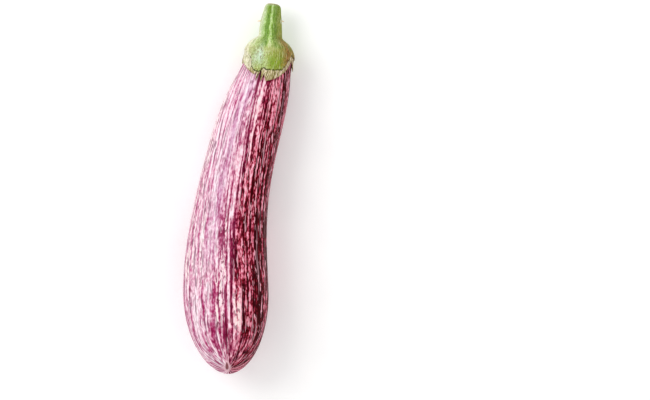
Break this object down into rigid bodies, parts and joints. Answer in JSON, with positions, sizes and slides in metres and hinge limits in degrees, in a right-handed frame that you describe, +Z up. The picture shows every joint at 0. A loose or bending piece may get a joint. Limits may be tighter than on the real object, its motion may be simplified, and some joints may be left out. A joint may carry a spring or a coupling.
{
  "type": "eggplant",
  "caption": "Long, gently bent striped eggplant with its green calyx and a short cut stem, lying on its side.",
  "frame": {"origin": "centre of the bounding box, on the surface that the fruit lies on", "axes": "+Y runs from the blossom end towards the stem, +Z is up, and +X is towards the side that the fruit's neck bends to"},
  "size_m": [0.0748, 0.2494, 0.0581],
  "materials": {
    "skin": "satin, striped magenta and lilac-white along the fruit",
    "calyx": "matte green, paler at the margin"
  },
  "bodies": {
    "root": {"fruit": "skin", "calyx_stem": "calyx"}
  },
  "joints": []
}
